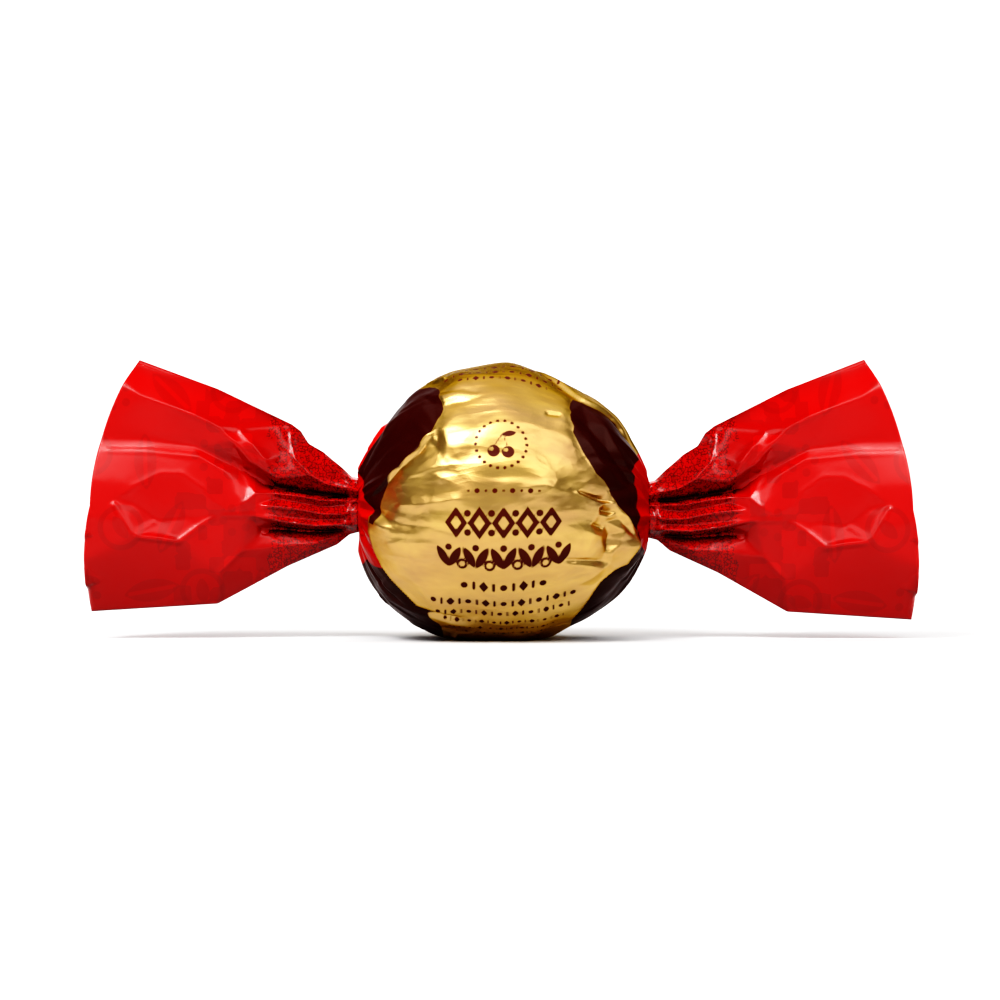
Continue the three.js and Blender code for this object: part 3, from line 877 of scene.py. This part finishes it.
def linear(hex_colour):
    """An sRGB hex colour as linear RGBA."""
    channels = [int(hex_colour[i:i + 2], 16) / 255 for i in (1, 3, 5)]
    return [c / 12.92 if c <= 0.04045 else ((c + 0.055) / 1.055) ** 2.4 for c in channels] + [1.0]


def add(tree, kind, inputs=None, **settings):
    """Adds a node, sets its properties, and gives its inputs their values or links."""
    node = tree.nodes.new(kind)
    for key, value in settings.items():
        setattr(node, key, value)
    for key, value in (inputs or {}).items():
        if isinstance(value, bpy.types.NodeSocket):
            tree.links.new(value, node.inputs[key])
        else:
            node.inputs[key].default_value = value
    return node


def new_material(name):
    """An empty material, and its tree of nodes."""
    material = bpy.data.materials.new(name)
    material.use_nodes = True
    tree = material.node_tree
    tree.nodes.clear()
    return material, tree


def ink_coverage(tree, print_name):
    """1 where a print covers the film and 0 where it's bare, with an edge 0.12 mm soft."""
    field = add(tree, "ShaderNodeAttribute", attribute_name=print_name).outputs["Fac"]
    return add(tree, "ShaderNodeMapRange", {"Value": field, "From Max": 0.12}).outputs[0]


GOLD = linear("#C4992D")
GLEAM_GOLD = linear("#F2D48C")
DULL_GOLD = linear("#A67619")
LABEL_BROWN = linear("#4E170A")
PATCH_BROWN = linear("#340804")
FILM_RED = linear("#C40502")
MOTIF_RED = linear("#9A0402")
LACE_BROWN = linear("#4A0705")
# A near black red, painted into the fans' pleats as their shade.
PAINTED_SHADE_RED = linear("#2A0201")


def printed_foil():
    """Metallised polypropylene film, lacquered champagne gold and printed by gravure. Bare, it
    is a satin mirror with a white gleam on it from the clear lacquer, and rubbed duller in
    streaks. Where the dark brown or red ink covers it, it is a plain gloss."""
    material, tree = new_material("lacquered_metallised_film")
    place = add(tree, "ShaderNodeTexCoord").outputs["Object"]

    # Rubbed streaks about 4 mm apart, drawn out along the ball three times as long.
    streaked = add(tree, "ShaderNodeMapping", {"Vector": place, "Scale": (0.3, 1.0, 1.0)}).outputs[0]
    rubbed = add(tree, "ShaderNodeTexNoise", {
        "Vector": streaked, "Scale": 240.0, "Detail": 3.0, "Roughness": 0.6,
    }).outputs["Fac"]
    rubbed = add(tree, "ShaderNodeMapRange", {"Value": rubbed, "From Min": 0.3, "From Max": 0.7})
    colour = add(tree, "ShaderNodeMix", {
        0: rubbed.outputs[0], 6: DULL_GOLD, 7: GOLD,
    }, data_type="RGBA").outputs[2]
    ink = None
    for print_name, ink_colour in (
        ("label_print", LABEL_BROWN), ("red_print", FILM_RED), ("brown_print", PATCH_BROWN),
    ):
        cover = ink_coverage(tree, print_name)
        colour = add(tree, "ShaderNodeMix", {
            0: cover, 6: colour, 7: ink_colour,
        }, data_type="RGBA").outputs[2]
        if ink is None:
            ink = cover
        else:
            ink = add(tree, "ShaderNodeMath", {0: ink, 1: cover}, operation="MAXIMUM").outputs[0]
    bare = add(tree, "ShaderNodeMath", {0: 1.0, 1: ink}, operation="SUBTRACT").outputs[0]

    # The lacquer's white gleam: full where the film faces the eye, fading where it turns away.
    facing = add(tree, "ShaderNodeLayerWeight", {"Blend": 0.5}).outputs["Facing"]
    gleam = add(tree, "ShaderNodeMapRange", {
        "Value": facing, "From Min": 0.3, "From Max": 0.62, "To Min": 0.85, "To Max": 0.1,
    }).outputs[0]
    dulled = add(tree, "ShaderNodeMapRange", {"Value": ink, "To Min": 1.0, "To Max": 0.1}).outputs[0]
    coat = add(tree, "ShaderNodeMath", {0: gleam, 1: dulled}, operation="MULTIPLY").outputs[0]

    # Crinkles of thin film: long ones that pull from neck to neck, 3 mm apart, then dents 4 mm
    # and 1.6 mm wide, and a grain of 0.2 mm, which is drawn coarser than the real one.
    pulled = add(tree, "ShaderNodeMapping", {"Vector": place, "Scale": (0.16, 1.0, 1.0)}).outputs[0]
    pulls = add(tree, "ShaderNodeTexNoise", {"Vector": pulled, "Scale": 330.0, "Detail": 2.0})
    slack = add(tree, "ShaderNodeMapRange", {"Value": ink, "To Min": 1.0, "To Max": 0.35}).outputs[0]
    bump = add(tree, "ShaderNodeBump", {
        "Strength": slack, "Distance": 0.0003, "Height": pulls.outputs["Fac"],
    }).outputs[0]
    stretched = add(tree, "ShaderNodeMapping", {"Vector": place, "Scale": (0.45, 1.0, 1.0)}).outputs[0]
    wander = add(tree, "ShaderNodeTexNoise", {"Vector": stretched, "Scale": 180.0, "Detail": 1.0})
    bent = add(tree, "ShaderNodeMix", {
        0: 0.0035, 4: stretched, 5: wander.outputs["Color"],
    }, data_type="VECTOR").outputs[1]
    for scale, slope in ((230.0, 0.05), (620.0, 0.045)):
        dents = add(tree, "ShaderNodeTexVoronoi", {"Vector": bent, "Scale": scale})
        bump = add(tree, "ShaderNodeBump", {
            "Strength": slack, "Distance": slope / scale, "Height": dents.outputs["Distance"],
            "Normal": bump,
        }).outputs[0]
    grain = add(tree, "ShaderNodeTexNoise", {"Vector": place, "Scale": 5200.0, "Detail": 1.0})
    bump = add(tree, "ShaderNodeBump", {
        "Strength": 0.5, "Distance": 0.00002, "Height": grain.outputs["Fac"], "Normal": bump,
    }).outputs[0]

    shader = add(tree, "ShaderNodeBsdfPrincipled", {
        "Base Color": colour, "Metallic": bare, "Roughness": 0.37, "Normal": bump,
        "Specular IOR Level": 0.05, "Specular Tint": GLEAM_GOLD,
        "Coat Weight": coat, "Coat Roughness": 0.33, "Coat IOR": 2.0, "Coat Normal": bump,
    })
    add(tree, "ShaderNodeOutputMaterial", {"Surface": shader.outputs[0]})
    return material


def printed_red_film():
    """Clear polypropylene film with a solid red ink behind it: an even gloss, so the edge of
    each fold catches a thin pale line. It has darker red motifs, and near the necks a brown
    lace of 0.1 mm lines, which is drawn coarser than the real one."""
    material, tree = new_material("printed_red_polypropylene_film")
    place = add(tree, "ShaderNodeUVMap", uv_map="film").outputs[0]
    out = add(tree, "ShaderNodeSeparateXYZ", {0: place}).outputs[0]
    motif = ink_coverage(tree, "motif_print")
    faint = add(tree, "ShaderNodeMath", {0: motif, 1: 0.38}, operation="MULTIPLY").outputs[0]
    colour = add(tree, "ShaderNodeMix", {
        0: faint, 6: FILM_RED, 7: MOTIF_RED,
    }, data_type="RGBA").outputs[2]

    # Blocks of a darker red, 2 mm across, grow fewer from the lace towards the mouth.
    blocks = add(tree, "ShaderNodeTexVoronoi", {
        "Vector": place, "Scale": 0.5, "Randomness": 0.4,
    }, distance="CHEBYCHEV", voronoi_dimensions="2D")
    block_tones = add(tree, "ShaderNodeSeparateColor", {0: blocks.outputs["Color"]})
    thinning = add(tree, "ShaderNodeMapRange", {
        "Value": out, "From Min": 14.0, "From Max": 27.0, "To Min": 0.35, "To Max": 1.0,
    }).outputs[0]
    shaded = add(tree, "ShaderNodeMath", {
        0: block_tones.outputs[1], 1: thinning,
    }, operation="GREATER_THAN").outputs[0]
    shaded = add(tree, "ShaderNodeMath", {0: shaded, 1: 0.4}, operation="MULTIPLY").outputs[0]
    colour = add(tree, "ShaderNodeMix", {
        0: shaded, 6: colour, 7: MOTIF_RED,
    }, data_type="RGBA").outputs[2]

    # The lace: the lines between cells 0.4 mm across, broken up by gaps, out to 9 to 13 mm from
    # the neck.
    cells = add(tree, "ShaderNodeTexVoronoi", {
        "Vector": place, "Scale": 2.7, "Randomness": 1.0,
    }, feature="DISTANCE_TO_EDGE", voronoi_dimensions="2D")
    marks = add(tree, "ShaderNodeMapRange", {
        "Value": cells.outputs["Distance"], "From Min": 0.24, "From Max": 0.12,
    }).outputs[0]
    gaps = add(tree, "ShaderNodeTexNoise", {"Vector": place, "Scale": 2.2, "Detail": 1.0})
    printed = add(tree, "ShaderNodeMapRange", {
        "Value": gaps.outputs["Fac"], "From Min": 0.42, "From Max": 0.52,
    }).outputs[0]
    wander = add(tree, "ShaderNodeTexNoise", {"Vector": place, "Scale": 0.5, "Detail": 0.0})
    edge_at = add(tree, "ShaderNodeMath", {
        0: wander.outputs["Fac"], 1: 5.0, 2: 8.6,
    }, operation="MULTIPLY_ADD").outputs[0]
    near_neck = add(tree, "ShaderNodeMath", {0: out, 1: edge_at}, operation="LESS_THAN").outputs[0]
    lace = add(tree, "ShaderNodeMath", {0: marks, 1: printed}, operation="MULTIPLY").outputs[0]
    lace = add(tree, "ShaderNodeMath", {0: lace, 1: near_neck}, operation="MULTIPLY").outputs[0]
    lace = add(tree, "ShaderNodeMath", {0: lace, 1: 0.8}, operation="MULTIPLY").outputs[0]
    colour = add(tree, "ShaderNodeMix", {
        0: lace, 6: colour, 7: LACE_BROWN,
    }, data_type="RGBA").outputs[2]

    # Painted shade: the deeper a place lies in a pleat, the darker its red is painted, down to a near
    # black red; it is full within 11 mm of the neck and a quarter as strong past 16 mm.
    depth = add(tree, "ShaderNodeAttribute", attribute_name="pleat_depth").outputs["Fac"]
    painted_pleat_shade = add(tree, "ShaderNodeMapRange", {
        "Value": depth, "From Min": 0.12, "From Max": 1.0, "To Max": 0.88,
    }).outputs[0]
    shade_near_neck = add(tree, "ShaderNodeMapRange", {
        "Value": out, "From Min": 11.0, "From Max": 16.0, "To Min": 1.0, "To Max": 0.25,
    }).outputs[0]
    painted_pleat_shade = add(tree, "ShaderNodeMath", {0: painted_pleat_shade, 1: shade_near_neck}, operation="MULTIPLY").outputs[0]
    colour = add(tree, "ShaderNodeMix", {
        0: painted_pleat_shade, 6: colour, 7: PAINTED_SHADE_RED,
    }, data_type="RGBA").outputs[2]

    # Crinkles 3 mm apart, and fine ones 0.8 mm apart where the film is bunched at the necks.
    spot = add(tree, "ShaderNodeTexCoord").outputs["Object"]
    crinkle = add(tree, "ShaderNodeTexNoise", {"Vector": spot, "Scale": 300.0, "Detail": 2.0})
    bump = add(tree, "ShaderNodeBump", {
        "Strength": 0.2, "Distance": 0.0002, "Height": crinkle.outputs["Fac"],
    }).outputs[0]
    bunched = add(tree, "ShaderNodeMapRange", {
        "Value": out, "From Min": 3.0, "From Max": 13.0, "To Min": 0.8, "To Max": 0.0,
    }).outputs[0]
    fine = add(tree, "ShaderNodeTexVoronoi", {"Vector": spot, "Scale": 900.0})
    bump = add(tree, "ShaderNodeBump", {
        "Strength": bunched, "Distance": 0.00012, "Height": fine.outputs["Distance"], "Normal": bump,
    }).outputs[0]
    shader = add(tree, "ShaderNodeBsdfPrincipled", {
        "Base Color": colour, "Roughness": 0.25, "Specular IOR Level": 0.34, "Normal": bump,
    })
    add(tree, "ShaderNodeOutputMaterial", {"Surface": shader.outputs[0]})
    return material


# ---- the pieces ---------------------------------------------------------------------------------

ball = make_ball()
left_fan = make_fan("left_fan", LEFT, LEFT_FAN_SEED)
right_fan = make_fan("right_fan", RIGHT, RIGHT_FAN_SEED)

foil = printed_foil()
red_film = printed_red_film()
for piece, finish in ((ball, foil), (left_fan, red_film), (right_fan, red_film)):
    piece.data.materials.append(finish)
    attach(piece, "root")
    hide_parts("wrapped_truffle")

# ---- floor, lights and camera -------------------------------------------------------------------

def make_floor():
    """A white sweep: a floor that curves up into a backdrop. It throws no light back up, so that
    the creases keep their contrast."""
    half_width, near, far, bend, tall = 0.5, -0.55, 0.5, 0.25, 0.33
    profile = [(near, 0.0), (far, 0.0)]
    for i in range(1, 13):
        angle = i / 12 * math.pi / 2
        profile.append((far + bend * math.sin(angle), bend * (1 - math.cos(angle))))
    profile.append((far + bend, tall))
    verts = [(x, y, z) for y, z in profile for x in (-half_width, half_width)]
    faces = [(2 * i, 2 * i + 1, 2 * i + 3, 2 * i + 2) for i in range(len(profile) - 1)]
    mesh = bpy.data.meshes.new("floor")
    mesh.from_pydata(verts, [], faces)
    mesh.polygons.foreach_set("use_smooth", np.ones(len(mesh.polygons), bool))
    floor = bpy.data.objects.new("floor", mesh)
    bpy.context.scene.collection.objects.link(floor)
    material, tree = new_material("white_paper_sweep")
    shader = add(tree, "ShaderNodeBsdfPrincipled", {
        "Base Color": linear("#DADADA"), "Roughness": 0.9, "Specular IOR Level": 0.1,
    })
    add(tree, "ShaderNodeOutputMaterial", {"Surface": shader.outputs[0]})
    mesh.materials.append(material)
    floor.visible_diffuse = False
    return floor


def add_light(name, place, aim, size, power):
    """A soft panel of light, with its place, aim and size in metres and its power in watts."""
    lamp = bpy.data.lights.new(name, "AREA")
    lamp.shape = "RECTANGLE"
    lamp.size, lamp.size_y = size
    lamp.energy = power
    lamp_object = bpy.data.objects.new(name, lamp)
    lamp_object.location = place
    lamp_object.rotation_euler = (Vector(aim) - Vector(place)).to_track_quat("-Z", "Y").to_euler()
    bpy.context.scene.collection.objects.link(lamp_object)
    return lamp_object


def light_only(lamp_object, *receivers):
    """Lets a light fall on these objects alone."""
    group = bpy.data.collections.new("lit_by_" + lamp_object.name)
    for receiver in receivers:
        group.objects.link(receiver)
    lamp_object.light_linking.receiver_collection = group


def make_lights(floor):
    """Soft studio light. The foil mirrors what the matt paper and the red film only soak up, so
    they are lit apart."""
    middle = (0.0, 0.0, 0.018)
    softbox = add_light("front_softbox", (0.0, -0.38, 0.5), middle, (1.5, 0.42), 6.4)
    light_only(softbox, ball, floor)
    strip = add_light("fan_strip", (0.0, -0.45, 0.38), middle, (1.5, 0.2), 3.1)
    light_only(strip, left_fan, right_fan)
    overhead = add_light("overhead_softbox", (0.0, 0.2, 0.6), (0.0, 0.2, 0.0), (0.8, 0.9), 2.3)
    light_only(overhead, ball, floor)

    # A small window of light makes the hot spot and the thin lines on the creases. The right
    # fan has one that mirrors it.
    key = add_light("key_window", (-0.22, -0.33, 0.47), middle, (0.14, 0.2), 2.8)
    light_only(key, ball, left_fan, floor)
    add_light("front_panel", (0.05, -0.8, 0.22), (0.0, 0.0, 0.1), (1.0, 0.4), 0.4)
    mirrored_key = add_light("right_key_window", (0.22, -0.33, 0.47), middle, (0.14, 0.2), 2.8)
    light_only(mirrored_key, right_fan)

    # The hollows, the back and the insides of the fans get weaker light.
    fill = add_light("low_fill", (0.0, -0.5, 0.08), middle, (0.9, 0.12), 0.9)
    fill.visible_glossy = False
    light_only(fill, ball, left_fan, right_fan)
    rear = add_light("rear_panel", (0.0, 0.55, 0.5), middle, (1.2, 0.4), 6.0)
    light_only(rear, left_fan, right_fan)
    for side in (-1, 1):
        panel = add_light("side_panel", (0.7 * side, 0.1, 0.25), middle, (0.5, 0.4), 3.5)
        light_only(panel, left_fan, right_fan)

    # The paper is washed pure white, as is what lies past its edges.
    wash = add_light("backdrop_wash", (0.0, 0.3, 0.7), (0.0, 0.75, 0.3), (0.8, 0.4), 8.5)
    light_only(wash, floor)
    floor_wash = add_light("floor_wash", (0.0, -0.5, 0.5), (0.0, -0.05, 0.0), (0.9, 0.5), 1.3)
    light_only(floor_wash, floor)
    world = bpy.data.worlds.new("studio")
    world.use_nodes = True
    background = world.node_tree.nodes["Background"]
    background.inputs["Color"].default_value = (1, 1, 1, 1)
    seen = add(world.node_tree, "ShaderNodeLightPath").outputs["Is Camera Ray"]
    brightness = add(world.node_tree, "ShaderNodeMapRange", {
        "Value": seen, "To Min": 0.14, "To Max": 1.3,
    }).outputs[0]
    world.node_tree.links.new(brightness, background.inputs["Strength"])
    bpy.context.scene.world = world


def make_camera():
    """Level with the truffle's middle, far enough off for a long lens, and framed so that
    1000 pixels span 130 mm at the truffle."""
    lens, sensor, frame_width = 100.0, 36.0, 0.13
    camera = bpy.data.cameras.new("camera")
    camera.lens = lens
    camera.sensor_width = sensor
    camera_object = bpy.data.objects.new("camera", camera)
    camera_object.location = (-0.455 * MM, -frame_width * lens / sensor, 18.07 * MM)
    camera_object.rotation_euler = (math.pi / 2, 0, 0)
    bpy.context.scene.collection.objects.link(camera_object)
    bpy.context.scene.camera = camera_object


# Light in, and how light it comes out in the picture: a soft shoulder and deep darks.
PICTURE_CURVE = [
    (0.0, 0.0), (0.01, 0.0008), (0.02, 0.003), (0.04, 0.01), (0.06, 0.022), (0.09, 0.047),
    (0.13, 0.088), (0.2, 0.168), (0.3, 0.283), (0.42, 0.415), (0.5, 0.5), (0.7, 0.705),
    (0.85, 0.84), (1.0, 0.935), (1.15, 1.0),
]


def develop_picture():
    """Sets the picture curve on the scene's view."""
    view = bpy.context.scene.view_settings
    view.view_transform = "Standard"
    view.use_curve_mapping = True
    brightest = PICTURE_CURVE[-1][0]
    view.curve_mapping.white_level = (brightest, brightest, brightest)
    curve = view.curve_mapping.curves[3]
    for light, tone in PICTURE_CURVE[1:-1]:
        curve.points.new(light / brightest, tone)
    for point in curve.points:
        point.handle_type = "AUTO_CLAMPED"
    view.curve_mapping.update()


make_lights(make_floor())
make_camera()
develop_picture()
